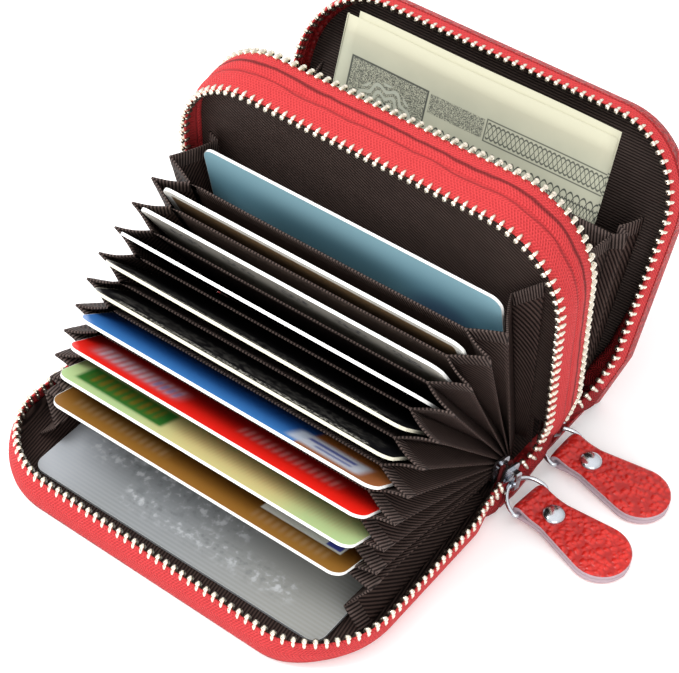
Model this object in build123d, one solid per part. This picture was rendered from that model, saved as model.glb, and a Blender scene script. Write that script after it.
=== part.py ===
from build123d import *
import os
from math import asin, atan2, cos, degrees, hypot, pi, radians, sin

# Accordion card wallet with two zipped compartments, standing open on a table.
# X runs along the spine, -Y towards the front cover, +Z up. The origin is on the table,
# in the middle of the spine strip. Sizes are in millimetres and angles in degrees.
os.makedirs("parts", exist_ok=True)

# Cards and folded notes, standard sizes
card_width = 85.6
card_height = 53.98
card_thickness = 0.76
card_corner = 3.18
notes_width = 78.0
notes_height = 66.3
notes_leaf = 0.5
notes_gap = 0.1

# Accordion ends: how far each pleat reaches in under a card and out past it
pleat_under = 3.3
pleat_over = 5.5
pleat_in = card_width / 2 - pleat_under
pleat_out = card_width / 2 + pleat_over

# Zipper track, seen flat: half its width, its far corners, and where it narrows at the spine
track_room = 5.6
track_taper = 3.6
track_half = pleat_out + track_room
track_corner = 20.4
track_end_half = track_half - track_taper
track_narrow = 18.0
track_end = 4.0

# The two covers
front_card_rear = 14.52
front_card_room = 2.65
front_card_edge = front_card_rear + card_height
front_reach = front_card_edge + front_card_room
rear_reach = 73.5
front_depth = 8.0
rear_depth = 8.5
rear_lean = 63.6
rim_outside = 2.0
rim_height = 5.2
rim_rounding = 0.8
leather = 1.0
board = 0.4
lining = 0.2
cover_front_start = 0.5
cover_rear_start = 3.6
board_inset = 4.0

# The axes that the covers fold about
front_fold_y = -3.85
front_fold_z = 0.65
rear_fold_y = 25.0
rear_fold_z = 1.0

# Zipper tapes and teeth
tape = 0.7
tape_outside = 0.8
tape_start = 9.0
middle_tape_start = 11.5
tape_half_width = 6.75
tooth_pitch = 2.4
tooth_along = 1.0
tooth_across = 2.4
tooth_head = 0.9
tooth_grip = 1.7
tooth_slot_gap = 0.08
teeth_start = 13.5
stop_along = 2.6

# The middle section and the spine
middle_flare = 3.4
seam_gap = 0.1
wall_gap = 0.1
spine_over = 0.2
spine_half = track_end_half + spine_over
spine_setback = 1.2
spine_rear_y = 33.0
seat_gap = 0.1

# The accordion: dividers between pockets, their pleats at both ends
pocket_count = 10
divider_thickness = 0.25
divider_height = 52.0
hem_height = 3.5
hem_thickness = 0.5
base_front_y = -8.5
base_pitch = 1.75
base_floor = 2.4
base_rise = 2.5
first_divider_lean = 110.7
first_card_lean = 100.8
card_lean_offset = 108.8
pleat_pitch = 6.1
pleat_sheet = 0.8
pleat_gap = 0.2
pleat_low = 9.0
pleat_high = 52.0
first_pleat_lean = 107.2
wall_pleat_lean = 93.5
flat_card_gap = 0.5
card_lift_shares = [0.019, 0.056, 0.093, 0.111, 0.093, 0.056, 0.046, 0.037, 0.037, 0.028]
flat_lean = 180.0

# The rear pocket with the folded notes
notes_lean = 71.5
notes_base_y = 29.0
notes_base_z = 4.1
rear_divider_over = 2.2
rear_divider_half = card_width / 2 + rear_divider_over
rear_divider_height = 44.0
rear_pleat_out = pleat_out
rear_pleat_under = 1.0
rear_pleat_in = rear_divider_half - rear_pleat_under
rear_pleat_step = 0.8
rear_pleat_rise = 46.0
rear_fan_y = 20.0
rear_fan_lean = 82.0
rear_tip_y = 30.0
rear_tip_z = 3.4
rear_tip_lean = 64.9
rear_edge_y = 32.4
rear_edge_z = 2.6

# Sliders, pull rings and leather pulls
slider_length = 6.8
slider_width = 5.4
slider_tail = 4.2
slider_rounding = 0.9
slider_plate = 0.55
slider_channel = 2.5
slider_flange = 0.55
slider_flange_reach = 4.4
slider_post = 1.5
slider_tilt = 13.0
bridge_length = 5.0
bridge_width = 1.8
bridge_opening = 1.7
bridge_wall = 0.6
ring_radius = 5.8
ring_corner = 0.8
ring_wire = 0.55
ring_drop = 0.9
bar_height = 3.25
pull_layer = 1.4
pull_length = 27.7
pull_neck = 9.4
pull_tip_radius = 7.5
pull_fold_bore = 0.75
pull_taper = 3.4
pull_floor_gap = 0.05
rivet_at = 6.4
rivet_cap_radius = 2.6
rivet_cap_height = 0.8
rivet_shank = 1.2
rivet_clearance = 0.05
front_slider_inset = 1.0
front_slider_x = track_end_half - front_slider_inset
front_slider_y = -5.1
front_slider_z = 6.7
front_slider_yaw = -6.0
front_ring_turn = 0.0
rear_slider_inset = 2.1
rear_slider_x = track_end_half - rear_slider_inset
rear_slider_y = 17.0
rear_slider_z = 5.9
rear_slider_yaw = -31.0
rear_ring_turn = 30.0
tape_end_in = 0.9
tape_end_out = 2.0
tape_end_top = 3.0
tape_cut_from_seam = 2.6
tape_cut_height = 2.0
notch_depth = 3.4
notch_half = track_end_half - notch_depth
spine_lining_inset = 0.9
spine_lining_half = notch_half - spine_lining_inset
notch_rear_y = 6.6
wall_notch = 9.2
overrun = 1.0


def write(shape, name):
    """Save one named piece."""
    shape.label = name
    export_step(shape, f"parts/{name}.step")


def write_group(shapes, place, name):
    """Save alike small pieces as one node, each put in its place first."""
    write(Compound([place(shape) for shape in shapes]), name)


def box(x0, x1, y0, y1, z0, z1):
    """A block between two corners."""
    block = Box(x1 - x0, y1 - y0, z1 - z0, align=(Align.MIN, Align.MIN, Align.MIN))
    return Pos(x0, y0, z0) * block


def track_face(grow, start, reach):
    """The flat area inside the zipper track, grown all round. It is narrow at the spine."""
    half = track_half + grow
    end_half = track_end_half + grow
    share_in = (start - track_end) / (track_narrow - track_end)
    start_half = end_half + (half - end_half) * min(share_in, 1)
    far = reach + grow
    points = [(-start_half, start), (start_half, start), (half, far), (-half, far)]
    if start < track_narrow:
        points.insert(2, (half, track_narrow))
        points.append((-half, track_narrow))
    sheet = make_face(Polyline(*points, close=True))
    return fillet(sheet.vertices().group_by(Axis.Y)[-1], track_corner + grow)


def track_ring(outer, inner, start, reach):
    """A U-shaped strip along the track, between two offsets from it."""
    hole = track_face(inner, start, reach)
    start_half = hole.vertices().group_by(Axis.Y)[0].sort_by(Axis.X)[-1].X
    mouth = Rectangle(2 * start_half, 2 * overrun)
    return track_face(outer, start, reach) - hole - Pos(0, start) * mouth


def track_walk(reach, start):
    """Places along the track's far side of the start: x, y and heading, one every half tooth pitch."""
    corner_x = track_half - track_corner
    corner_y = reach - track_corner
    slant = hypot(track_half - track_end_half, track_narrow - track_end)
    slant_used = slant * (start - track_end) / (track_narrow - track_end)
    lower = slant - slant_used
    straight = corner_y - track_narrow
    quarter = track_corner * pi / 2
    heading_in = degrees(atan2(track_narrow - track_end, track_half - track_end_half))
    total = 2 * (lower + straight + quarter + corner_x)
    steps = 2 * int(total / tooth_pitch)
    places = []
    for step in range(steps + 1):
        run = step * tooth_pitch / 2 + (total - steps * tooth_pitch / 2) / 2
        side = 1 if run <= total / 2 else -1
        along = min(run, total - run)
        if along < lower:
            share = (slant_used + along) / slant
            x = track_end_half + (track_half - track_end_half) * share
            y = track_end + (track_narrow - track_end) * share
            heading = heading_in
        elif along < lower + straight:
            x = track_half
            y = track_narrow + along - lower
            heading = 90
        elif along < lower + straight + quarter:
            turn = (along - lower - straight) / track_corner
            x = corner_x + track_corner * cos(turn)
            y = corner_y + track_corner * sin(turn)
            heading = 90 + degrees(turn)
        else:
            x = corner_x - (along - lower - straight - quarter)
            y = reach
            heading = 180
        if side < 0:
            x = -x
            heading = 360 - heading
        places.append((x, y, heading))
    return places


def tooth_solid(along):
    """One metal tooth over the tape's edge, its head reaching past the track's plane."""
    top = tooth_head
    bottom = -tooth_head - seat_gap - tooth_grip
    half = tooth_across / 2
    slot = tape / 2 + tooth_slot_gap
    block = box(-along / 2, along / 2, -half, half, bottom, top)
    cut = box(-along, along, -slot, slot, bottom - overrun, bottom + tooth_grip)
    return block - cut


def teeth_row(reach, first):
    """A row on the tape's middle line. It starts on the first or second half pitch, so that two rows mesh."""
    middle = tape_outside - tape / 2
    tooth = tooth_solid(tooth_along)
    teeth = []
    for x, y, heading in track_walk(reach, teeth_start)[2 + first:-2:2]:
        out = radians(heading - 90)
        place = Pos(x + middle * cos(out), y + middle * sin(out), 0) * Rot(0, 0, heading)
        teeth.append(place * tooth)
    return teeth


def end_stops(reach):
    """The two metal blocks that end a row at the spine."""
    middle = tape_outside - tape / 2
    places = track_walk(reach, teeth_start)
    stops = []
    for x, y, heading in (places[0], places[-1]):
        out = radians(heading - 90)
        place = Pos(x + middle * cos(out), y + middle * sin(out), 0) * Rot(0, 0, heading)
        stops.append(place * tooth_solid(stop_along / 2))
    return stops


def tape_top(depth):
    """How high a cover's tape stands, under the heads of the other row's teeth."""
    return depth - tooth_head - seat_gap


def cover(reach, depth, start):
    """One cover lying flat with its outer face down: leather tray, board, lining, tape and teeth."""
    floor = extrude(track_face(rim_outside, start, reach), leather)
    wall = extrude(track_ring(rim_outside, rim_outside - leather, tape_start, reach), rim_height)
    tray = floor + wall
    low = tray.edges().filter_by(lambda e: e.bounding_box().max.Z < leather / 2)
    low = low.filter_by(lambda e: e.bounding_box().max.Y > start + leather / 2)
    tray = chamfer(low, rim_rounding)
    inner_start = start + leather
    stiff = Pos(0, 0, leather) * extrude(track_face(-board_inset, inner_start, reach), board)
    skin_low = leather + board
    skin = Pos(0, 0, skin_low) * extrude(track_face(-seat_gap, inner_start, reach), lining)
    strip = track_ring(tape_outside, tape_outside - tape, tape_start, reach)
    band_low = leather
    band = Pos(0, 0, band_low) * extrude(strip, tape_top(depth) - band_low)
    return {"leather": tray, "board": stiff, "lining": skin, "tape": band}


def flat_to_front(shape):
    """From the flat cover to the front cover, which lies on the table."""
    return Pos(0, front_fold_y, 0) * Rot(0, 0, 180) * shape


def flat_to_rear(shape):
    """From the flat cover to the rear cover, which leans back from its fold."""
    return Pos(0, rear_fold_y, rear_fold_z) * Rot(rear_lean, 0, 0) * Pos(0, 0, -rear_depth) * shape


def plane_to_middle_front(shape):
    """From the track's plane to the middle section's front row: its heads point at -Y."""
    return Pos(0, middle_front_y, front_fold_z) * Rot(90, 0, 0) * shape


def plane_to_middle_rear(shape):
    """From the track's plane to the middle section's rear row: its heads point at +Y."""
    return Pos(0, middle_rear_y, front_fold_z) * Rot(0, 0, 180) * Rot(90, 0, 0) * shape


# Places worked out from the sizes above
middle_front_y = front_fold_y + front_depth - front_fold_z
seam_y = middle_front_y + tape_half_width
middle_rear_y = seam_y + tape_half_width
lining_top = leather + board + lining
wall_front_y = seam_y - wall_gap / 2 - lining
wall_rear_y = seam_y + wall_gap / 2 + lining

# Covers
front = cover(front_reach, front_depth, cover_front_start)
rear = cover(rear_reach, rear_depth, cover_rear_start)
for cover_name, pieces, place in (("front", front, flat_to_front), ("rear", rear, flat_to_rear)):
    write(place(pieces["leather"]), f"{cover_name}_cover_leather")
    write(place(pieces["board"]), f"{cover_name}_cover_board")
    write(place(pieces["lining"]), f"{cover_name}_cover_lining")
    write(place(pieces["tape"]), f"{cover_name}_cover_zip_tape")
front_row = [Pos(0, 0, front_depth) * tooth for tooth in teeth_row(front_reach, 0)]
write_group(front_row, flat_to_front, "front_cover_zip_teeth")
rear_row = [Pos(0, 0, rear_depth) * tooth for tooth in teeth_row(rear_reach, 0)]
write_group(rear_row, flat_to_rear, "rear_cover_zip_teeth")

# Middle section: two zipper tapes sewn together at the seam, and a lined wall inside them
middle_rear_reach = front_reach + middle_flare
write_group(teeth_row(front_reach, 1), plane_to_middle_front, "middle_front_zip_teeth")
write_group(teeth_row(middle_rear_reach, 1), plane_to_middle_rear, "middle_rear_zip_teeth")
tape_edge = tooth_head + seat_gap
seam_reach = front_reach + middle_flare / 2
half_tape = tape_half_width - seam_gap / 2


def half_band(track_reach):
    """One tape of the middle section: straight where the teeth grip it, then flared to the seam."""
    grip_end = tape_edge + tooth_grip
    straight = track_ring(tape_outside, tape_outside - tape, middle_tape_start, track_reach)
    gripped = Pos(0, 0, -grip_end) * extrude(straight, tooth_grip)
    at_grip = Pos(0, 0, -grip_end) * straight
    seam_strip = track_ring(tape_outside, tape_outside - tape, middle_tape_start, seam_reach)
    at_seam = Pos(0, 0, -half_tape) * seam_strip
    return gripped + loft([at_seam.faces()[0], at_grip.faces()[0]], ruled=True)


write(plane_to_middle_front(half_band(front_reach)), "middle_front_zip_tape")
# The rear tape's ends are cut back, so that the slider can pass
tape_low = front_fold_z + middle_tape_start
tape_cut = box(-track_half - overrun, track_half + overrun, seam_y + tape_cut_from_seam, middle_rear_y,
               tape_low - overrun, tape_low + tape_cut_height)
write(plane_to_middle_rear(half_band(middle_rear_reach)) - tape_cut, "middle_rear_zip_tape")
wall_start = base_floor - front_fold_z
wall_face = track_face(-seat_gap, wall_start, seam_reach)
for side in (-1, 1):
    corner = Rectangle(track_half - notch_half, wall_notch)
    wall_face -= Pos(side * (track_half + notch_half) / 2, wall_start + wall_notch / 2) * corner
wall_sheet = extrude(wall_face, lining)
write(Pos(0, wall_front_y + lining, front_fold_z) * Rot(90, 0, 0) * wall_sheet, "middle_front_lining")
write(Pos(0, wall_rear_y, front_fold_z) * Rot(90, 0, 0) * wall_sheet, "middle_rear_lining")

# Spine strip, cut back at its front corners for the slider, and its lining
spine_front_y = front_fold_y + spine_setback
spine = box(-spine_half, spine_half, spine_front_y, spine_rear_y, 0, leather)
for side in (-1, 1):
    notch_x = side * (notch_half + spine_half) / 2
    notch = Pos(notch_x, (spine_front_y + notch_rear_y) / 2, leather / 2) * Box(
        spine_half - notch_half, notch_rear_y - spine_front_y, leather
    )
    spine -= notch
write(spine, "spine_leather")
spine_lining_rear = spine_rear_y - leather
write(
    box(-spine_lining_half, spine_lining_half, spine_front_y, spine_lining_rear, leather, leather + lining),
    "spine_lining",
)

# End stops of the two zips
front_stops = [Pos(0, 0, front_depth) * stop for stop in end_stops(front_reach)]
write_group(front_stops, flat_to_front, "front_cover_zip_stops")
write_group(end_stops(middle_rear_reach), plane_to_middle_rear, "middle_rear_zip_stops")


def base_point(number):
    """Foot of divider number, on a low arch over the spine. Halves give the pockets between two dividers."""
    arch = 1 - ((number - pocket_count / 2) / (pocket_count / 2)) ** 2
    return base_front_y + (pocket_count - number) * base_pitch, base_floor + base_rise * arch


def divider_lean(number):
    return first_divider_lean + pleat_pitch * (number - 1)


def pocket_lean(number):
    """Lean of a pocket's card and pleat tips: pocket 1 is the wide one against the middle wall."""
    return card_lean_offset + pleat_pitch * (number - 1)


def leaning(y, z, lean, shape):
    """A flat piece, its foot at the origin and +Y up along it, stood at y, z and leaned from +Y."""
    return Pos(0, y, z) * Rot(lean, 0, 0) * shape


def divider_solid(half, height):
    """A fabric wall with a folded hem along its top."""
    sheet = box(-half, half, 0, height, -divider_thickness / 2, divider_thickness / 2)
    hem = box(-half, half, height - hem_height, height, -hem_thickness / 2, hem_thickness / 2)
    return sheet + hem


def card_solid():
    """A card with its lower edge's middle at the origin."""
    blank = RectangleRounded(card_width, card_height, card_corner)
    return Pos(0, card_height / 2, -card_thickness / 2) * extrude(blank, card_thickness)


# Dividers
for number in range(1, pocket_count + 1):
    y, z = base_point(number)
    wall = divider_solid(pleat_in - pleat_gap, divider_height)
    write(leaning(y, z, divider_lean(number), wall), f"divider_{number:02d}")

# Cards: ten in the pockets and one flat on the front cover
for number in range(1, pocket_count + 1):
    y, z = base_point(number - 1 / 2)
    lean = first_card_lean if number == 1 else pocket_lean(number)
    card = Pos(0, card_height * card_lift_shares[number - 1], 0) * card_solid()
    write(leaning(y, z, lean, card), f"card_{number:02d}")
front_card_z = lining_top + seat_gap + card_thickness / 2
front_card_y = -front_card_rear
write(leaning(front_card_y, front_card_z, flat_lean, card_solid()), f"card_{pocket_count + 1:02d}")


def folded_sheet(lines, low, high, thickness):
    """A pleated sheet, its thickness along X. Each line is one fold: foot y, foot z, lean and x."""

    def spot(line, along, shift):
        y, z, lean, x = line
        away = radians(lean)
        return Vector(x + shift, y + along * cos(away), z + along * sin(away))

    faces = []

    def quad(a, b, c, d):
        faces.append(Face(Wire.make_polygon([a, b, c], close=True)))
        faces.append(Face(Wire.make_polygon([a, c, d], close=True)))

    for one, two in zip(lines, lines[1:]):
        # A leaf bends along the diagonal that keeps it clear of a card between two leaves
        inward, outward = (one, two) if one[-1] < two[-1] else (two, one)
        for shift in (0, thickness):
            quad(
                spot(inward, high, shift),
                spot(inward, low, shift),
                spot(outward, low, shift),
                spot(outward, high, shift),
            )
        for along in (low, high):
            quad(
                spot(one, along, 0),
                spot(two, along, 0),
                spot(two, along, thickness),
                spot(one, along, thickness),
            )
    for line in (lines[0], lines[-1]):
        quad(spot(line, low, 0), spot(line, high, 0), spot(line, high, thickness), spot(line, low, thickness))
    return Solid(Shell(faces))


# Accordion pleats at both ends of the front compartment
wall_foot = (wall_front_y - pleat_gap, base_floor)
front_foot_z = front_card_z + card_thickness / 2 + flat_card_gap
front_foot = (base_front_y - base_pitch, front_foot_z)
pleat_rim = pleat_out - pleat_sheet
fold_lines = [(*wall_foot, 90, pleat_rim), (*wall_foot, wall_pleat_lean, pleat_in)]
fold_lines.append((*base_point(1 / 2), first_pleat_lean, pleat_out))
for number in range(1, pocket_count + 1):
    fold_lines.append((*base_point(number), divider_lean(number), pleat_in))
    if number < pocket_count:
        fold_lines.append((*base_point(number + 1 / 2), pocket_lean(number + 1), pleat_out))
last_lean = divider_lean(pocket_count)
lean_left = flat_lean - last_lean
for share, x in ((1 / 4, pleat_out), (9 / 16, pleat_in), (15 / 16, pleat_rim)):
    fold_lines.append((*front_foot, last_lean + lean_left * share, x))
right_pleats = folded_sheet(fold_lines, pleat_low, pleat_high, pleat_sheet)
write(right_pleats, "accordion_pleats_right")
write(mirror(right_pleats, Plane.YZ), "accordion_pleats_left")

# Rear pocket: a fabric divider, its end pleats and the folded notes behind it
divider_away = notes_leaf + notes_gap + pleat_gap + divider_thickness
rear_divider = Pos(0, 0, divider_away) * divider_solid(rear_divider_half, rear_divider_height)
write(leaning(notes_base_y, notes_base_z, notes_lean, rear_divider), "rear_divider")
notes_half = notes_width / 2
fold_radius = notes_leaf + notes_gap / 2
leaf_upper = box(-notes_half, notes_half, 0, notes_height, notes_gap / 2, fold_radius)
leaf_lower = box(-notes_half, notes_half, 0, notes_height, -fold_radius, -notes_gap / 2)
upright = Rot(-90, 0, 0)
from_foot = (Align.CENTER, Align.CENTER, Align.MIN)
fold_bar = upright * Cylinder(fold_radius, notes_height, align=from_foot)
fold_bore = upright * Cylinder(notes_gap / 2, notes_height, align=from_foot)
inner_half = box(0, fold_radius + overrun, -overrun, notes_height + overrun, -overrun, overrun)
notes_fold = fold_bar - fold_bore - inner_half
notes = leaf_upper + leaf_lower + Pos(-notes_half, 0, 0) * notes_fold
write(leaning(notes_base_y, notes_base_z, notes_lean, notes), "folded_notes")
away = radians(notes_lean)
divider_foot_y = notes_base_y - divider_away * sin(away)
divider_foot_z = notes_base_z + divider_away * cos(away)
divider_end = rear_divider_half + pleat_gap
rear_lines = [
    (wall_rear_y + lining + pleat_gap, base_floor, 90, rear_pleat_out),
    (rear_fan_y, base_floor, rear_fan_lean, rear_pleat_in),
    (divider_foot_y, divider_foot_z, notes_lean, divider_end),
    (divider_foot_y + rear_pleat_step, divider_foot_z, notes_lean, rear_pleat_out),
    (divider_foot_y + 2 * rear_pleat_step, divider_foot_z, notes_lean, divider_end),
    (rear_tip_y, rear_tip_z, rear_tip_lean, rear_pleat_out),
    (rear_edge_y, rear_edge_z, rear_lean, rear_pleat_out - pleat_sheet),
]
rear_right_pleats = folded_sheet(rear_lines, pleat_low, rear_pleat_rise, pleat_sheet)
write(rear_right_pleats, "rear_pleats_right")
write(mirror(rear_right_pleats, Plane.YZ), "rear_pleats_left")


def slider_solid():
    """A slider: X points out of the wallet, Y across the zip, Z along its travel. Mouth up, tail down."""
    half_length = slider_length / 2
    mouth = slider_width / 2
    tail = slider_tail / 2
    outline = make_face(
        Polyline((-tail, -half_length), (tail, -half_length), (mouth, 0), (mouth, half_length),
                 (-mouth, half_length), (-mouth, 0), close=True)
    )
    outline = fillet(outline.vertices(), slider_rounding)
    plate = Plane.YZ * extrude(outline, slider_plate)
    gap = slider_channel / 2
    body = Pos(gap, 0, 0) * plate + Pos(-gap - slider_plate, 0, 0) * plate
    post = Rot(0, 90, 0) * Cylinder(slider_post / 2, slider_channel)
    body += Pos(0, 0, half_length - slider_post) * post
    flange_low = -half_length + slider_rounding
    for x0, x1 in ((gap - slider_flange, gap), (-gap, slider_flange - gap)):
        for side in (-1, 1):
            y0, y1 = sorted((side * (tail - slider_flange), side * tail))
            body += box(x0, x1, y0, y1, flange_low, flange_low + slider_flange_reach)
    half_bridge = bridge_length / 2
    face = gap + slider_plate
    top = face + bridge_opening + bridge_wall
    arch = box(face, top, -bridge_width / 2, bridge_width / 2, -half_bridge, half_bridge)
    half_hole = half_bridge - bridge_wall
    hole = box(face, face + bridge_opening, -overrun, overrun, -half_hole, half_hole)
    arch = fillet(arch.edges().filter_by(Axis.Y).group_by(Axis.X)[-1], bridge_wall) - hole
    return body + arch


def tape_ends(slider_place, sewn_to):
    """The two tape ends that run through the slider, down to the skin that they are sewn to."""
    ends = []
    for side in (-1, 1):
        y0, y1 = sorted((side * tape_end_in, side * tape_end_out))
        strip = slider_place * box(-tape / 2, tape / 2, y0, y1, -slider_length - overrun, tape_end_top)
        ends.append(split(strip, Plane.XY.offset(sewn_to)))
    return ends


def bent_wire(centre_x, centre_y, radius, start, turn):
    """A stretch of the ring's wire: an arc in the flat, from a start angle through a turn."""
    section = Plane((radius, 0, 0), x_dir=(1, 0, 0), z_dir=(0, 1, 0)) * Circle(ring_wire)
    arc = revolve(section, Axis.Z, turn)
    return Pos(centre_x, centre_y, 0) * Rot(0, 0, start) * arc


def ring_solid():
    """A D-shaped ring: its straight bar on the Y axis, its arc towards -X."""
    straight = ring_radius - ring_corner
    ring = Rot(90, 0, 0) * Cylinder(ring_wire, 2 * straight)
    ring += bent_wire(-ring_corner, straight, ring_corner, 0, 90)
    ring += bent_wire(-ring_corner, 0, ring_radius, 90, 180)
    ring += bent_wire(-ring_corner, -straight, ring_corner, 270, 90)
    return ring


def pull_solid():
    """A leather strap along +X, folded round the ring's bar, its layers pressed together after the taper."""
    outer = pull_fold_bore + pull_layer
    far = pull_length - pull_tip_radius
    neck = Rectangle(outer + rivet_at, pull_neck, align=(Align.MIN, Align.CENTER))
    plan = make_hull((Pos(-outer, 0) * neck).edges() + (Pos(far, 0) * Circle(pull_tip_radius)).edges())
    blank = extrude(plan, 2 * outer)
    side = make_face(
        Polyline((0, -outer), (pull_taper, -pull_layer), (pull_length, -pull_layer),
                 (pull_length, pull_layer), (pull_taper, pull_layer), (0, outer), close=True)
    )
    side = side + Circle(outer) - Circle(pull_fold_bore)
    bar = Rot(90, 0, 0) * extrude(side, pull_tip_radius, both=True)
    strap = (Pos(0, 0, -outer) * blank) & bar
    hole = Pos(rivet_at, 0, 0) * Cylinder(rivet_shank + rivet_clearance, 2 * outer)
    return strap - hole


def rivet_solid():
    """A rivet through both layers, with a domed cap on each side."""
    round_off = (rivet_cap_radius**2 + rivet_cap_height**2) / (2 * rivet_cap_height)
    cap = Pos(0, 0, rivet_cap_height - round_off) * Sphere(round_off)
    cap = cap & Cylinder(rivet_cap_radius + overrun, round_off, align=from_foot)
    rivet = Pos(0, 0, pull_layer) * cap + Rot(180, 0, 0) * Pos(0, 0, pull_layer) * cap
    rivet += Cylinder(rivet_shank, 2 * pull_layer)
    return Pos(rivet_at, 0, 0) * rivet


def zip_pull(name, x, y, z, yaw, turn, sewn_to):
    """One slider with its ring and leather pull. The ring hangs in the bridge at a turn round its arc."""
    slider_place = Pos(x, y, z) * Rot(0, 0, yaw) * Rot(-slider_tilt, 0, 0)
    write(slider_place * slider_solid(), f"{name}_slider")
    write(Compound(tape_ends(slider_place, sewn_to)), f"{name}_zip_tape_ends")
    out = slider_channel / 2 + slider_plate + bridge_opening / 2
    hang = (slider_place * Pos(out, 0, -ring_drop)).position
    along = ring_corner + ring_radius * cos(radians(turn))
    pitch = degrees(asin((hang.Z - bar_height) / along))
    ring_turned = Rot(0, 0, yaw + turn) * Rot(0, pitch, 0)
    to_bar = (ring_turned * Pos(along, -ring_radius * sin(radians(turn)), 0)).position
    bar = Pos(hang + to_bar)
    write(bar * ring_turned * ring_solid(), f"{name}_pull_ring")
    droop = degrees(asin((bar_height - pull_layer - pull_floor_gap) / pull_length))
    pull_turned = Rot(0, 0, yaw + turn) * Rot(0, droop, 0)
    write(bar * pull_turned * pull_solid(), f"{name}_pull")
    write(bar * pull_turned * rivet_solid(), f"{name}_pull_rivet")
    return slider_place, hang, bar.position, ring_turned


front_places = zip_pull(
    "front", front_slider_x, front_slider_y, front_slider_z, front_slider_yaw, front_ring_turn, lining_top
)
rear_places = zip_pull(
    "rear", rear_slider_x, rear_slider_y, rear_slider_z, rear_slider_yaw, rear_ring_turn, leather
)
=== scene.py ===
"""Looks for the accordion card wallet: fabric, leather, zips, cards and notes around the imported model."""

import math

import bpy
import numpy as np
from mathutils import Matrix, Vector


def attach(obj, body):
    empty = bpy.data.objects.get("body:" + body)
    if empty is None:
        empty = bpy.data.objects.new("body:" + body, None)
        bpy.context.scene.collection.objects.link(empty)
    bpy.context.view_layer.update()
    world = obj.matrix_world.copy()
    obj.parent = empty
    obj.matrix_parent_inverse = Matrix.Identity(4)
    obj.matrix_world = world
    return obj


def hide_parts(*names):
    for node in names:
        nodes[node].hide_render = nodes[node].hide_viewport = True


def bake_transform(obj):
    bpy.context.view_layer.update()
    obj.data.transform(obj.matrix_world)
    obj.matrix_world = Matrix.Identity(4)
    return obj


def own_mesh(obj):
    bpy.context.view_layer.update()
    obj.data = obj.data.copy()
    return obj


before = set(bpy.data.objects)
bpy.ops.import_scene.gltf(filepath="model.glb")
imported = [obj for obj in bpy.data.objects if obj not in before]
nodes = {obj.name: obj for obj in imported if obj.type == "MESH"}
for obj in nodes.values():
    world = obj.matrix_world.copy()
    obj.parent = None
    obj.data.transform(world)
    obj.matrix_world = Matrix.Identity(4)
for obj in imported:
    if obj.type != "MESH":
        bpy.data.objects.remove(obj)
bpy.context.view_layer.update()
MM = 0.001

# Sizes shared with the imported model, in millimetres
TRACK_HALF = 53.9
TRACK_CORNER = 20.4
TRACK_END_HALF = 50.3
TRACK_NARROW = 18.0
TRACK_END = 4.0
TRACK_CUTS = (6, 16, 24, 16)  # of its tapered end, side, corner and half front
FRONT_REACH = 71.15
REAR_REACH = 73.5
FRONT_DEPTH = 8.0
REAR_DEPTH = 8.5
REAR_LEAN = math.radians(63.6)
FRONT_FOLD = (-3.85, 0.65)
REAR_FOLD = (25.0, 1.0)
MIDDLE_FRONT_Y = 3.5
MIDDLE_REAR_Y = 17.0
MIDDLE_FLARE = 3.4
LEATHER = 1.0
TAPE = 0.7
TOOTH_PITCH = 2.4
POCKETS = 10
PLEAT_IN = 39.5
PLEAT_IN_FOOT = 43.3
PLEAT_OUT = 48.3
PLEAT_OUT_FOOT = 46.7

# Folds of the accordion, read off the photo: y and z of each divider's top and each pleat tip's top
DIVIDER_TOPS = [(-11.2, 53.6), (-18.3, 51.0), (-25.3, 48.4), (-31.5, 45.3), (-37.1, 40.9),
                (-41.8, 36.2), (-46.0, 31.6), (-49.5, 26.4), (-52.4, 20.8), (-55.6, 15.4)]
TIP_TOPS = [(-8.0, 55.0), (-14.7, 52.9), (-22.0, 50.2), (-28.4, 47.0), (-34.4, 43.2), (-39.1, 38.4),
            (-43.6, 33.2), (-48.2, 28.4), (-52.0, 23.2), (-54.5, 17.7), (-56.6, 14.3)]
GATHER = (-1.6, 5.2)
GATHER_SHARE = 0.7
CLOTH = 0.5  # thickness of a pleat's hem
PLAIN_SHARE = 0.45  # of it below the hem
HEM_WIDTH = 3.4


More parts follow.
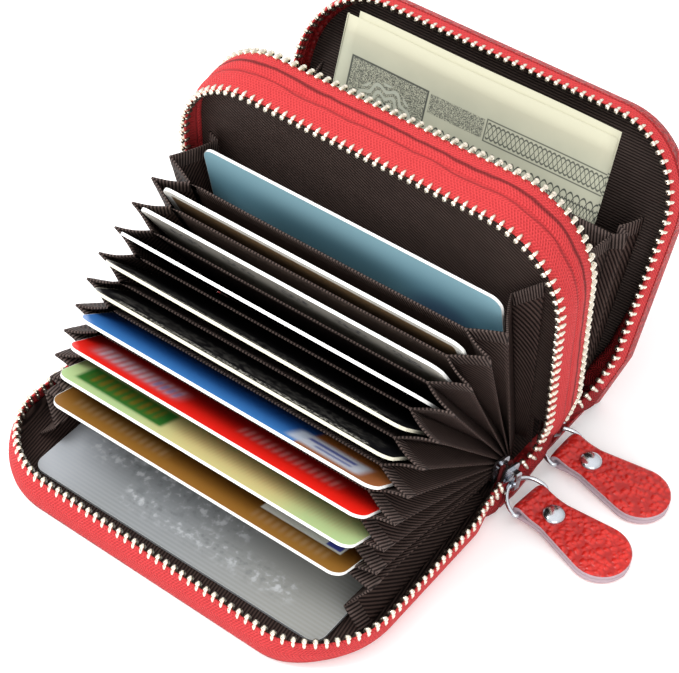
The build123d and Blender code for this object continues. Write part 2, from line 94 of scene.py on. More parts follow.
# Materials
class Look:
    """A Principled material put together from procedural nodes."""

    def __init__(self, name, roughness=0.6, metallic=0.0, **sockets):
        self.material = bpy.data.materials.new(name)
        self.material.use_nodes = True
        self.tree = self.material.node_tree
        self.shader = self.tree.nodes["Principled BSDF"]
        self.shader.inputs["Roughness"].default_value = roughness
        self.shader.inputs["Metallic"].default_value = metallic
        for key, value in sockets.items():
            self.shader.inputs[key.replace("_", " ")].default_value = value
        self.now = None  # the colour so far, where others are laid over it

    def add(self, kind, **inputs):
        node = self.tree.nodes.new(kind)
        for key, value in inputs.items():
            self.feed(node.inputs[key.replace("_", " ")], value)
        return node

    def feed(self, socket, value):
        if isinstance(value, bpy.types.NodeSocket):
            self.tree.links.new(value, socket)
        elif isinstance(value, (int, float)):
            socket.default_value = value
        else:
            socket.default_value = tuple(value) + (1,) * (len(socket.default_value) - len(value))

    def math(self, operation, a, b=0.0, clamp=False):
        node = self.tree.nodes.new("ShaderNodeMath")
        node.operation = operation
        node.use_clamp = clamp
        self.feed(node.inputs[0], a)
        self.feed(node.inputs[1], b)
        return node.outputs[0]

    def plus(self, a, b, clamp=False):
        return self.math("ADD", a, b, clamp)

    def minus(self, a, b):
        return self.math("SUBTRACT", a, b)

    def times(self, a, b, clamp=False):
        return self.math("MULTIPLY", a, b, clamp)

    def rest(self, share):
        """What a share leaves of 1."""
        return self.minus(1.0, share)

    def vectors(self, operation, a, b):
        node = self.tree.nodes.new("ShaderNodeVectorMath")
        node.operation = operation
        self.feed(node.inputs[0], a)
        self.feed(node.inputs[1], b)
        return node.outputs

    def dot(self, vector, direction):
        return self.vectors("DOT_PRODUCT", vector, direction)["Value"]

    def mix(self, share, a, b):
        node = self.tree.nodes.new("ShaderNodeMix")
        node.data_type = "RGBA"
        self.feed(node.inputs[0], share)
        self.feed(node.inputs[6], a)
        self.feed(node.inputs[7], b)
        return node.outputs[2]

    def uv(self):
        """Distances along and across the sheet, in millimetres."""
        split = self.add("ShaderNodeSeparateXYZ", Vector=self.add("ShaderNodeTexCoord").outputs["UV"])
        return split.outputs["X"], split.outputs["Y"]

    def place(self):
        return self.add("ShaderNodeTexCoord").outputs["Object"]

    def noise(self, vector, scale, detail):
        return self.add("ShaderNodeTexNoise", Vector=vector, Scale=scale, Detail=detail).outputs[0]

    def ridge(self, run, pitch):
        """0 to 1 and back over each pitch."""
        return self.plus(self.times(self.math("SINE", self.times(run, 2 * math.pi / pitch)), 0.5), 0.5)

    def step(self, value, low, high):
        """0 below low and 1 above high, smooth between."""
        node = self.tree.nodes.new("ShaderNodeMapRange")
        node.interpolation_type = "SMOOTHSTEP"
        self.feed(node.inputs["Value"], value)
        node.inputs["From Min"].default_value = low
        node.inputs["From Max"].default_value = high
        return node.outputs["Result"]

    def window(self, value, low, high, soft=0.2):
        """1 between two values and 0 outside them, with soft edges."""
        started = self.step(value, low - soft, low + soft)
        return self.times(started, self.rest(self.step(value, high - soft, high + soft)))

    def over(self, mask, color, share=1.0):
        """Lays a colour over the one so far."""
        self.now = self.mix(self.times(mask, share), self.now, color)

    def color(self, value):
        self.feed(self.shader.inputs["Base Color"], value)

    def bump(self, height, depth):
        """Relief of a depth in millimetres."""
        node = self.add("ShaderNodeBump", Height=height, Distance=depth * MM)
        self.feed(self.shader.inputs["Normal"], node.outputs["Normal"])

    def roughness(self, value):
        self.feed(self.shader.inputs["Roughness"], value)


def leather_look(name, dark, bright, grain, depth, roughness):
    """Pebbled leather: rounded grains of unlike size, grain and depth in millimetres, with painted shade in
    the creases.
    """
    look = Look(name, roughness=roughness, Specular_IOR_Level=0.4)
    place = look.place()
    warp = look.noise(place, 260, 2)
    warps = look.add("ShaderNodeCombineXYZ", X=warp, Y=look.noise(place, 310, 2), Z=warp).outputs[0]
    shift = look.vectors("MULTIPLY", warps, (grain * 0.9 * MM,) * 3)[0]
    warped = look.vectors("ADD", place, shift)[0]
    cells = look.add("ShaderNodeTexVoronoi", Vector=warped, Scale=1 / (grain * MM))
    cells.feature = "SMOOTH_F1"
    cells.inputs["Smoothness"].default_value = 0.35
    crease = look.step(cells.outputs["Distance"], 0.15, 0.85)
    fine = look.noise(place, 2200, 3)
    height = look.minus(look.times(fine, 0.15), crease)
    # Grain tops lighter and creases darker: painted shade in the creases between grains
    shade = look.mix(crease, bright, dark)
    patches = look.step(look.noise(place, 60, 2), 0.3, 0.7)
    look.color(look.mix(look.times(patches, 0.25), shade, dark))
    look.bump(height, depth)
    return look.material


def tape_look(name, dark, bright, seam=None):
    """Knitted zipper tape: rows of small slanted stitches, with a sunk seam where two tapes meet."""
    look = Look(name, roughness=0.75, Specular_IOR_Level=0.25)
    along, across = look.uv()
    place = look.place()
    row_width, slant, stitch_pitch, rib_pitch = 2.3, 0.8, 0.85, 0.62
    row = look.math("PINGPONG", across, row_width)
    stitch = look.ridge(look.plus(along, look.times(row, slant)), stitch_pitch)
    height = look.plus(look.times(stitch, 0.6), look.times(look.ridge(across, rib_pitch), 0.4))
    uneven = look.noise(place, 900, 3)
    look.now = look.mix(look.plus(look.times(height, 0.7), look.times(uneven, 0.35), clamp=True), dark, bright)
    if seam is not None:
        sway = look.times(look.minus(look.noise(place, 110, 2), 0.5), 2.0)
        swayed = look.plus(look.minus(across, seam), sway)
        for shift, width, strength in ((0.0, 0.75, 0.85), (3.4, 0.45, 0.5)):
            off = look.math("ABSOLUTE", look.plus(swayed, shift))
            look.over(look.rest(look.step(off, 0.12, width)), tuple(c * 0.3 for c in dark), strength)
    look.color(look.now)
    look.bump(height, 0.28)
    return look.material


RIB_DEPTH = 0.12


def ribbed(look, run, pitch, dark, bright):
    """Fine woven ribs, a little uneven."""
    place = look.place()
    rib = look.step(look.ridge(run, pitch), 0.15, 0.85)
    uneven = look.noise(place, 350, 3)
    share = look.times(rib, look.plus(look.times(uneven, 0.6), 0.5), clamp=True)
    look.color(look.mix(share, dark, bright))
    look.bump(rib, RIB_DEPTH)
    return look.material


LINING_DARK = (0.010, 0.0055, 0.0048)
LINING_BRIGHT = (0.052, 0.032, 0.027)


def lining_look(name, direction, pitch, dark=LINING_DARK, bright=LINING_BRIGHT):
    """Ribbed lining of a flat panel. The ribs follow each other along a direction in the part's frame."""
    look = Look(name, roughness=0.7, Specular_IOR_Level=0.12)
    length = math.hypot(*direction)
    run = look.dot(look.place(), tuple(c / length / MM for c in direction))
    return ribbed(look, run, pitch, dark, bright)


def sheet_look(name, slant, pitch, dark=LINING_DARK, bright=LINING_BRIGHT):
    """Ribbed lining of a bent sheet. The ribs lie at a slant to its length."""
    look = Look(name, roughness=0.7, Specular_IOR_Level=0.12)
    along, across = look.uv()
    angle = math.radians(slant)
    run = look.plus(look.times(along, math.cos(angle)), look.times(across, math.sin(angle)))
    return ribbed(look, run, pitch, dark, bright)


def metal_look(name, color, roughness):
    look = Look(name, metallic=1.0)
    place = look.place()
    cloud = look.noise(place, 500, 3)
    look.color(look.mix(cloud, tuple(c * 0.82 for c in color), color))
    look.roughness(look.plus(look.times(cloud, 0.14), roughness))
    look.bump(look.noise(place, 1500, 2), 0.02)
    return look.material


def plain_look(name, color, roughness=0.7):
    look = Look(name, roughness=roughness)
    cloud = look.noise(look.place(), 700, 4)
    look.color(look.mix(cloud, tuple(c * 0.8 for c in color), color))
    look.bump(cloud, 0.03)
    return look.material


CORAL_DARK = (0.34, 0.015, 0.018)
CORAL = (0.66, 0.052, 0.054)
leather_red = leather_look("shell_leather", (0.20, 0.005, 0.006), (0.46, 0.020, 0.021), 1.0, 0.2, 0.5)
leather_pull = leather_look("pull_leather", (0.36, 0.007, 0.005), (0.60, 0.022, 0.015), 1.35, 0.32, 0.3)
leather_edge = plain_look("leather_raw_edge", (0.46, 0.34, 0.38), 0.8)
tape_band = tape_look("tape_band", CORAL_DARK, CORAL, seam=9.2)
tape_rim = tape_look("tape_rim", CORAL_DARK, CORAL)
# A darker copy of the tape: painted shade, for tape lying in shadow inside the rear cover and beside the runs
# to the sliders
tape_shade = tape_look("tape_shade", (0.10, 0.003, 0.004), (0.36, 0.012, 0.014))
zip_metal = metal_look("zip_metal", (0.90, 0.82, 0.69), 0.2)
pull_metal = metal_look("pull_metal", (0.62, 0.65, 0.70), 0.12)
board_look = plain_look("stiffener", (0.35, 0.33, 0.30))
lining_middle = lining_look("lining_middle", (0.447, 0.0, 0.894), 0.8,
                            (0.020, 0.012, 0.010), (0.092, 0.062, 0.053))
lining_rear = lining_look("lining_rear_cover", (0.0, math.cos(REAR_LEAN), math.sin(REAR_LEAN)), 0.7,
                         (0.014, 0.009, 0.008), (0.070, 0.050, 0.043))
lining_front = lining_look("lining_front_cover", (1.0, 0.15, 0.0), 0.8)
lining_spine = lining_look("lining_spine", (0.3, 1.0, 0.0), 0.8)
pleat_cloth = sheet_look("pleat_cloth", 30, 0.8, bright=(0.078, 0.050, 0.042))
hem_cloth = sheet_look("pleat_hem", 12, 0.85, (0.012, 0.008, 0.007), (0.115, 0.082, 0.072))


# Mesh building
class Sheet:
    """A mesh of grids of points in millimetres, with texture distances along and across each grid."""

    def __init__(self):
        self.points = []
        self.faces = []
        self.uvs = []
        self.slots = []
        self.weights = []

    def grid(self, points, slot=0, weight=1.0, flip=False):
        """Rows of points. Weight is the share of the sheet's thickness here."""
        points = np.asarray(points, float)
        rows, cols = points.shape[:2]
        along = np.linalg.norm(np.diff(points, axis=1), axis=2).mean(0)
        across = np.linalg.norm(np.diff(points, axis=0), axis=2).mean(1)
        u = np.concatenate(([0], np.cumsum(along)))
        v = np.concatenate(([0], np.cumsum(across)))
        first = len(self.points)
        self.points.extend(points.reshape(-1, 3))
        self.weights.extend([weight] * (rows * cols))
        for i in range(rows - 1):
            for j in range(cols - 1):
                corners = [(i, j), (i, j + 1), (i + 1, j + 1), (i + 1, j)]
                if flip:
                    corners.reverse()
                self.faces.append([first + r * cols + c for r, c in corners])
                self.uvs.append([(u[c], v[r]) for r, c in corners])
                self.slots.append(slot)
        return self

    def area(self):
        """Its flat area in square millimetres."""
        total = 0.0
        for face in self.faces:
            first, *others = (np.asarray(self.points[i]) for i in face)
            for a, b in zip(others, others[1:]):
                total += np.linalg.norm(np.cross(a - first, b - first)) / 2
        return total

    def fan(self, ring, flip=False):
        """A flat cap over a closed ring of points."""
        ring = np.asarray(ring, float)
        first = len(self.points)
        self.points.extend(ring)
        self.weights.extend([1.0] * len(ring))
        face = list(range(first, first + len(ring)))
        uv = [(p[0], p[1]) for p in ring]
        if flip:
            face.reverse()
            uv.reverse()
        self.faces.append(face)
        self.uvs.append(uv)
        self.slots.append(0)

    def make(self, name, materials, thickness=0.0, offset=0.0, merge=True):
        """The object, in metres, with its thickness given and applied."""
        mesh = bpy.data.meshes.new(name)
        mesh.from_pydata([tuple(p * MM) for p in np.asarray(self.points)], [], self.faces)
        layer = mesh.uv_layers.new(name="UVMap")
        flat = [uv for face in self.uvs for uv in face]
        layer.data.foreach_set("uv", np.asarray(flat, np.float32).ravel())
        for material in materials:
            mesh.materials.append(material)
        mesh.polygons.foreach_set("material_index", self.slots)
        mesh.polygons.foreach_set("use_smooth", [True] * len(mesh.polygons))
        obj = bpy.data.objects.new(name, mesh)
        bpy.context.scene.collection.objects.link(obj)
        group = obj.vertex_groups.new(name="thick")
        for weight in set(self.weights):
            group.add([i for i, w in enumerate(self.weights) if w == weight], weight, "REPLACE")
        if merge:
            weld = obj.modifiers.new("weld", "WELD")
            weld.merge_threshold = 0.005 * MM
        if thickness:
            solid = obj.modifiers.new("thickness", "SOLIDIFY")
            solid.thickness = thickness * MM
            solid.offset = offset
            solid.vertex_group = "thick"
            solid.use_even_offset = False
        return bake(obj)


def bake(obj):
    """Applies an object's modifiers to its mesh."""
    bpy.context.view_layer.update()
    graph = bpy.context.evaluated_depsgraph_get()
    mesh = bpy.data.meshes.new_from_object(obj.evaluated_get(graph))
    obj.modifiers.clear()
    obj.data = mesh
    return obj


def cloth_piece(sheet, length):
    """Works out a piece's width as cloth from its area and the length of its cut, and keeps nothing."""
    sheet.area() / length * MM


def paint(obj, material):
    obj.data.materials.clear()
    obj.data.materials.append(material)
    for polygon in obj.data.polygons:
        polygon.material_index = 0


def track_line(start, reach, fine=1):
    """Points along the zipper's track and their outward normals, the same count for every reach."""
    share = (start - TRACK_END) / (TRACK_NARROW - TRACK_END)
    first = (TRACK_END_HALF + (TRACK_HALF - TRACK_END_HALF) * share, start)
    corner = (TRACK_HALF - TRACK_CORNER, reach - TRACK_CORNER)
    knee = (TRACK_HALF, TRACK_NARROW)

    def run(a, b, count):
        return [(a[0] + (b[0] - a[0]) * i / count, a[1] + (b[1] - a[1]) * i / count) for i in range(count)]

    end, side, turns, front = (cuts * fine for cuts in TRACK_CUTS)
    half = run(first, knee, end) + run(knee, (TRACK_HALF, corner[1]), side)
    for i in range(turns):
        angle = math.pi / 2 * i / turns
        half.append((corner[0] + TRACK_CORNER * math.cos(angle), corner[1] + TRACK_CORNER * math.sin(angle)))
    half += run((corner[0], reach), (0, reach), front)
    points = np.array(half + [(0, reach)] + [(-x, y) for x, y in reversed(half)])
    tangents = np.gradient(points, axis=0)
    tangents /= np.linalg.norm(tangents, axis=1)[:, None]
    normals = np.stack([tangents[:, 1], -tangents[:, 0]], axis=1)
    return points, normals


def eased(value, start, span):
    """0 to 1 over a span, smooth at both ends."""
    share = np.clip((value - start) / span, 0, 1)
    return share * share * (3 - 2 * share)


def up_front(z):
    return np.clip(z / FRONT_DEPTH, 0, 1.1)


def wall_shift(x, z):
    """How far the front cover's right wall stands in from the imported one, 4.4 at its foot."""
    return eased(x, 28, 24) * (4.4 - 3.1 * up_front(z))


def rim_shift(x, y, z):
    """How far the front cover's front wall leans in, most at its left end."""
    return eased(y, 42, 28) * np.clip((34 - x) / 84, 0, 1) * (0.6 + 1.6 * up_front(z))


def on_front(x, y, z):
    """From a cover lying flat to the front cover."""
    return np.stack([x - wall_shift(x, z), FRONT_FOLD[0] - y + rim_shift(x, y, z), z], axis=-1)


def on_rear(x, y, z):
    """From a cover lying flat to the leaning rear cover."""
    z = z - REAR_DEPTH
    c, s = math.cos(REAR_LEAN), math.sin(REAR_LEAN)
    return np.stack([x, REAR_FOLD[0] + y * c - z * s, REAR_FOLD[1] + y * s + z * c], axis=-1)


def on_middle(x, y, z):
    """From the track's plane to the middle section, z being the place in the wallet's depth."""
    return np.stack([x, z, FRONT_FOLD[1] + y], axis=-1)


def swept_row(place, start, reach, out, height):
    """Points along the track, moved out from it, at a height."""
    points, normals = track_line(start, reach)
    moved = points + normals * out
    return place(moved[:, 0], moved[:, 1], np.full(len(moved), float(height)))


def swept(place, start, reach, profile):
    """Rows of points along the track, one row for each (out, height) of the profile."""
    return np.array([swept_row(place, start, reach, out, height) for out, height in profile])


def rounded_profile(points, cuts=4):
    """A profile line with its inner corners smoothed by cutting them."""
    points = np.asarray(points, float)
    for _ in range(cuts):
        a, b = points[:-1], points[1:]
        cut = np.stack([a * 0.75 + b * 0.25, a * 0.25 + b * 0.75], axis=1).reshape(-1, points.shape[1])
        points = np.vstack([points[:1], cut[1:-1], points[-1:]])
    return points


# Covers: leather skin and the knitted zip band round its rim
COVER_BAND_START = 8.0
MIDDLE_BAND_START = 8.2
LINING_START = 1.6
LINING_LEVEL = 1.65


def cover_pieces(name, place, start, reach, depth, leather_top):
    """A cover's skin and zip band. Profiles are out from the track and up from the cover's outside."""
    rear = place is on_rear
    inner, outside = -1.0, 0.02
    rim = [(inner, outside), (0.9, outside), (1.75, 0.3), (1.95, 1.2), (1.9, leather_top), (1.0, leather_top)]
    skin = Sheet()
    skin.grid(swept(place, start, reach, rounded_profile(rim, 2)), flip=rear)
    skin.fan(swept_row(place, start, reach, inner, outside), flip=not rear)
    skin.fan(swept_row(place, start, reach, inner, LEATHER), flip=rear)
    piece = skin.make(f"{name}_cover_skin", [leather_red])
    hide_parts(f"{name}_cover_leather")
    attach(piece, f"{name}_cover")
    top = depth - 0.5
    edge = [(0.95, leather_top - 1.2), (1.75, leather_top + 0.6), (1.7, top - 3.0), (1.0, top - 1.2),
            (0.5, top)]
    band = Sheet().grid(swept(place, COVER_BAND_START, reach, rounded_profile(edge, 2)), flip=rear)
    piece = band.make(f"{name}_cover_band", [tape_rim], thickness=TAPE * 0.8, offset=-1)
    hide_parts(f"{name}_cover_zip_tape")
    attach(piece, f"{name}_cover")


cover_pieces("front", on_front, 0.5, FRONT_REACH, FRONT_DEPTH, 1.4)
cover_pieces("rear", on_rear, 3.6, REAR_REACH, REAR_DEPTH, 5.0)

lining = Sheet()
lining_edge = [(0.0, LINING_LEVEL), (0.5, 2.6), (0.55, 4.4)]
lining.grid(swept(on_front, LINING_START, FRONT_REACH, lining_edge), flip=True)
lining.fan(swept_row(on_front, LINING_START, FRONT_REACH, *lining_edge[0]))
piece = lining.make("front_cover_lining_cloth", [lining_front], thickness=0.15, offset=1)
cloth_piece(lining, 2 * TRACK_HALF)
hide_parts("front_cover_lining")
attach(piece, "front_cover")

# The rear cover's tape lies open at its right end, inside the teeth
OPEN_FROM, OPEN_TO, OPEN_WIDTH, OPEN_DROP = 6.0, 46.0, 6.5, 4.6
opened = []
for y in np.linspace(OPEN_FROM, OPEN_TO, 20):
    wide = OPEN_WIDTH * (1 - (y - OPEN_FROM) / (OPEN_TO - OPEN_FROM))
    edge = np.interp(y, [TRACK_END, TRACK_NARROW], [TRACK_END_HALF, TRACK_HALF]) + 0.6
    opened.append([on_rear(edge - wide * t, y, REAR_DEPTH - 0.2 - OPEN_DROP * t ** 0.7)
                   for t in (0.0, 0.15, 0.4, 0.7, 1.0)])
piece = Sheet().grid(opened).make("rear_cover_inner_tape", [tape_shade], thickness=TAPE * 0.6)
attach(piece, "rear_cover")

# Middle band: two tapes sewn together, one for each zip. Its profile is back through the depth, and out
BAND_PROFILE = [(4.0, 0.45), (4.9, 0.80), (6.6, 1.25), (8.4, 1.55), (9.6, 1.5), (10.1, 1.15), (10.4, 1.15),
                (10.9, 1.45), (12.2, 1.5), (13.9, 1.3), (15.6, 0.85), (16.5, 0.45)]
band_rows = []
for y, out in rounded_profile(BAND_PROFILE, 2):
    share = (y - MIDDLE_FRONT_Y) / (MIDDLE_REAR_Y - MIDDLE_FRONT_Y)
    band_rows.append(swept_row(on_middle, MIDDLE_BAND_START, FRONT_REACH + MIDDLE_FLARE * share, out, y))
band = Sheet().grid(band_rows)
piece = band.make("middle_band", [tape_band], thickness=TAPE * 0.8, offset=1)
cloth_piece(band, 2 * FRONT_REACH + 2 * TRACK_HALF)
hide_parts("middle_front_zip_tape", "middle_rear_zip_tape")
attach(piece, "middle")


# Teeth
TRACK_SEAT = 0.45
TEETH_START = 13.5
TOOTH_SIDES = 12
RUN_BEFORE_TEETH, RUN_AFTER_TEETH = 2.6, 3.0
STOP_IN, STOP_STRETCH = 1.0, 1.8  # a stop's middle, in from the end of its path, and its length in teeth
TAPE_CUTS = 12  # of the tape that is shown beside the first teeth
# Height and half widths of a tooth's cross-sections, from its clamp to its head
TOOTH_LEVELS = [(-1.75, 0.34, 0.85), (-1.62, 0.44, 1.0), (-0.35, 0.50, 1.05), (-0.05, 0.44, 0.85),
                (0.1, 0.44, 0.6), (0.3, 0.56, 0.68), (0.55, 0.64, 0.74), (0.8, 0.54, 0.62), (1.0, 0.26, 0.3)]


def tooth_grid():
    """One tooth: X along the track, Y outwards, Z towards its head. A clamp on the tape with a round head."""
    rows = []
    for z, half_x, half_y in TOOTH_LEVELS:
        row = []
        for i in range(TOOTH_SIDES + 1):
            angle = 2 * math.pi * i / TOOTH_SIDES
            x, y = (math.copysign(abs(way) ** 0.7, way) for way in (math.cos(angle), math.sin(angle)))
            row.append((half_x * x, half_y * y, z))
        rows.append(row)
    shape = Sheet().grid(rows)
    shape.fan(rows[-1][:-1])
    shape.fan(rows[0][:-1], flip=True)
    return shape


def unit(vectors):
    return vectors / np.linalg.norm(vectors, axis=-1, keepdims=True)


def zip_path(place, reach, head, level, lead):
    """Points along a row of teeth, the ways its heads and its outside face there, and the run at its middle.

    Lead is how the row runs on to the slider, as (point, way of the heads), the slider first."""
    track, normals = track_line(TEETH_START, reach, 4)
    seat = track + normals * TRACK_SEAT
    flat = np.full(len(seat), float(level))
    points = place(seat[:, 0], seat[:, 1], flat)
    outs = unit(place(seat[:, 0] + normals[:, 0], seat[:, 1] + normals[:, 1], flat) - points)
    heads = unit(place(seat[:, 0], seat[:, 1], flat + head) - points)
    joined = rounded_profile([(*p, *h) for p, h in lead + [(points[0], heads[0])]], 3)[:-1]
    points = np.vstack([joined[:, :3], points])
    heads = unit(np.vstack([joined[:, 3:], heads]))
    outs = np.vstack([np.tile((1.0, 0.0, 0.0), (len(joined), 1)), outs])
    along = unit(np.gradient(points, axis=0))
    heads = unit(heads - along * (heads * along).sum(1, keepdims=True))
    crossed = unit(np.cross(heads, along))
    outs = crossed * np.sign((crossed * outs).sum(1, keepdims=True))
    run = np.concatenate(([0], np.cumsum(np.linalg.norm(np.diff(points, axis=0), axis=1))))
    return points, heads, outs, run, run[len(joined) + len(track) // 2], len(joined)


def tooth_at(whole, path, spot, stretch=1.0):
    """Adds one tooth at a run along a path, stretched along it for a stop."""
    points, heads, outs, run = path[:4]
    point, up, out = (np.array([np.interp(spot, run, column) for column in rows.T])
                      for rows in (points, heads, outs))
    axes = np.stack([np.cross(out, up) * stretch, out, up])
    one = tooth_grid()
    start = len(whole.points)
    whole.points.extend(np.asarray(one.points) @ axes + point)
    whole.weights.extend(one.weights)
    whole.faces.extend([[start + i for i in face] for face in one.faces])
    whole.uvs.extend(one.uvs)
    whole.slots.extend(one.slots)


def zip_row(name, node, body, first, path, stops=None):
    """Teeth at every second half pitch of a path, its stop, and the tape beside the run to its slider."""
    points, heads, outs, run, centre, joined = path
    whole, ends = Sheet(), Sheet()
    count = int(centre / (TOOTH_PITCH / 2))
    for step in range(-count, count + 1):
        spot = centre + step * TOOTH_PITCH / 2
        if step % 2 == first and RUN_BEFORE_TEETH < spot < run[-1] - RUN_AFTER_TEETH:
            tooth_at(whole, path, spot)
    tooth_at(ends, path, run[-1] - STOP_IN, STOP_STRETCH)
    for piece_name, sheet, old in ((name, whole, node), (f"{name}_stops", ends, stops)):
        if old:
            piece = sheet.make(piece_name, [zip_metal], merge=False)
            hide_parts(old)
            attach(piece, body)
    shown = joined + TAPE_CUTS
    widening = np.clip(run[:shown, None] / 7.0, 0.4, 1.0)
    strip = Sheet().grid([points[:shown] - heads[:shown] * down * widening + outs[:shown] * side
                          for down, side in ((0.3, -0.1), (1.6, 0.0), (3.2, 0.3), (5.0, 0.5))])
    piece = strip.make(f"{name}_run_tape", [tape_shade], thickness=TAPE * 0.7)
    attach(piece, body)


# How each row runs on to its slider, as (point, way of the heads)
FRONT_RUN = [((49.9, -5.6, 6.9), (-0.3, 0.0, 1.0)), ((50.4, -7.6, 6.8), (-0.3, 0.0, 1.0)),
             ((51.2, -11.5, 7.4), (-0.2, 0.0, 1.0))]
MIDDLE_FRONT_RUN = [((49.9, -4.0, 7.2), (-0.5, -0.3, 0.9)), ((50.8, -2.2, 7.2), (-0.5, -0.4, 0.8)),
                    ((51.9, 0.4, 8.4), (-0.4, -0.8, 0.4)), ((52.8, 2.6, 11.0), (-0.1, -1.0, 0.1))]
MIDDLE_REAR_RUN = [((50.2, 15.0, 5.9), (0.1, 0.7, 0.7)), ((51.4, 16.2, 7.8), (0.1, 1.0, 0.2)),
                   ((52.6, 16.9, 11.0), (0.0, 1.0, 0.0))]
REAR_RUN = [((49.6, 19.5, 6.6), (-0.3, -0.4, 0.9)), ((51.2, 23.6, 7.4), (-0.2, -0.5, 0.8)),
            ((52.3, 27.4, 9.6), (-0.1, -0.6, 0.7))]
zip_row("front_cover_teeth", "front_cover_zip_teeth", "front_cover", 0,
        zip_path(on_front, FRONT_REACH, 1, FRONT_DEPTH, FRONT_RUN), "front_cover_zip_stops")
zip_row("middle_front_teeth", "middle_front_zip_teeth", "middle", 1,
        zip_path(on_middle, FRONT_REACH, -1, MIDDLE_FRONT_Y, MIDDLE_FRONT_RUN))
zip_row("middle_rear_teeth", "middle_rear_zip_teeth", "middle", 1,
        zip_path(on_middle, FRONT_REACH + MIDDLE_FLARE, 1, MIDDLE_REAR_Y, MIDDLE_REAR_RUN),
        "middle_rear_zip_stops")
zip_row("rear_cover_teeth", "rear_cover_zip_teeth", "rear_cover", 0,
        zip_path(on_rear, REAR_REACH, 1, REAR_DEPTH, REAR_RUN))


# Accordion
LAST_FOOT, FOOT_STEP, FOOT_LEVEL, FOOT_ARCH = -8.5, 1.75, 2.4, 2.5


def base_point(number):
    """Foot of a divider, as y and z. The feet lie on a flat arch."""
    arch = 1 - ((number - POCKETS / 2) / (POCKETS / 2)) ** 2
    return np.array([LAST_FOOT + (POCKETS - number) * FOOT_STEP, FOOT_LEVEL + FOOT_ARCH * arch])


def tip_foot(number):
    """Foot of the pleat tip between divider number and the next, gathered towards the slider."""
    foot = base_point(min(max(number + 0.5, 0.5), POCKETS + 0.5))
    return foot + (np.array(GATHER) - foot) * GATHER_SHARE


def add_panel(sheet, first, last, cols, bow=0.0, sag=0.0):
    """Cloth with a hem between two edges, each (foot, top), bowed along its normal, its top edge sagging."""
    (a_foot, a_top), (b_foot, b_top) = np.array(first, float), np.array(last, float)
    normal = np.cross(b_foot - a_foot, a_top - a_foot)
    normal /= np.linalg.norm(normal)
    height = np.linalg.norm(a_top - a_foot)
    hem = (height - HEM_WIDTH) / height
    plain = list(np.linspace(0, hem - 0.012, 9))
    rows = []
    for t in plain + [hem, (1 + hem) / 2, 1]:
        row = []
        for i in range(cols + 1):
            s = i / cols
            point = (a_foot * (1 - t) + a_top * t) * (1 - s) + (b_foot * (1 - t) + b_top * t) * s
            lift = math.sin(math.pi * s)
            row.append(point + normal * bow * lift * t - (a_top - a_foot) / height * sag * lift * t)
        rows.append(row)
    sheet.grid(rows[:len(plain)], weight=PLAIN_SHARE)
    sheet.grid(rows[len(plain) - 1:], slot=1)


def at(x, yz):
    """A point from its x and its (y, z)."""
    return np.array([x, yz[0], yz[1]])


def hemmed(sheet, name, length):
    piece = sheet.make(name, [pleat_cloth, hem_cloth], thickness=CLOTH)
    cloth_piece(sheet, length)
    return piece


def pleat_tip(side, number):
    """Outer edge of the pleat between divider number and the next."""
    return at(side * PLEAT_OUT_FOOT, tip_foot(number)), at(side * PLEAT_OUT, TIP_TOPS[number])


for number in range(1, POCKETS + 1):
    foot = base_point(number)
    top = DIVIDER_TOPS[number - 1]
    ends = {side: (at(side * PLEAT_IN_FOOT, foot), at(side * PLEAT_IN, top)) for side in (-1, 1)}
    cloth = Sheet()
    add_panel(cloth, ends[-1], ends[1], 24, sag=0.5)
    for side in (-1, 1):
        add_panel(cloth, ends[side], pleat_tip(side, number - 1), 6, bow=side * -0.5)
        add_panel(cloth, ends[side], pleat_tip(side, number), 6, bow=side * 0.5)
    lean = np.array(top) - foot
    piece = hemmed(cloth, f"accordion_fold_{number:02d}", float(np.hypot(*lean)))
    normal = np.array([-lean[1], lean[0]]) / np.hypot(*lean)
    middle = foot + lean * 0.9
    start, end = (middle + normal * ((np.array(tip) - middle) @ normal) * 0.95
                  for tip in TIP_TOPS[number - 1:number + 1])
    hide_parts(f"divider_{number:02d}")
    at(0, start) * MM
    at(0, end) * MM
    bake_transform(piece)

# First pleats, from the middle wall to the first tip, and last ones, from the last tip to the front cover.
# The first ones' edges inside and at the wall, on each side, are (foot, top)
FIRST_EDGES = {-1: (((-45.8, 8.4, 5.0), (-46.5, 7.4, 50.8)), ((-48.0, 8.6, 5.0), (-49.8, 8.4, 51.0))),
               1: (((PLEAT_IN_FOOT, 8.4, 5.0), (PLEAT_IN, 7.1, 50.3)), ((46.6, 8.6, 5.0), (47.4, 8.0, 58.1)))}
PLEAT_LENGTH = 50.0
first_pleats, last_pleats = Sheet(), Sheet()
for side in (-1, 1):
    inside, wall = FIRST_EDGES[side]
    add_panel(first_pleats, inside, wall, 6)
    add_panel(first_pleats, inside, pleat_tip(side, 0), 6, bow=side * 0.4)
    inside = (side * 43.2, -11.0, 4.4), (side * 43.2, -59.4, 7.4)
    outside = (side * 48.0, -11.0, 2.2), (side * 48.4, -60.0, 2.2)
    add_panel(last_pleats, inside, pleat_tip(side, POCKETS), 6)
    add_panel(last_pleats, inside, outside, 6)
piece = hemmed(first_pleats, "first_pleats", PLEAT_LENGTH)
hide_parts("accordion_pleats_left", "accordion_pleats_right")
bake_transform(piece)
piece = hemmed(last_pleats, "last_pleats", PLEAT_LENGTH)
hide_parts("accordion_pleats_left")
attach(piece, "front_cover")

# Rear pocket: its divider, end pleats and the notes behind it
NOTES_LEAN = math.radians(71.5)
NOTES_FOOT = np.array([29.0, 4.1])
notes_up = np.array([math.cos(NOTES_LEAN), math.sin(NOTES_LEAN)])
notes_out = np.array([-math.sin(NOTES_LEAN), math.cos(NOTES_LEAN)])


def rear_spot(x, up, out=0.0):
    """A point on the rear pocket's plane: up from its foot, out towards the front."""
    return at(x, NOTES_FOOT + notes_up * up + notes_out * out)


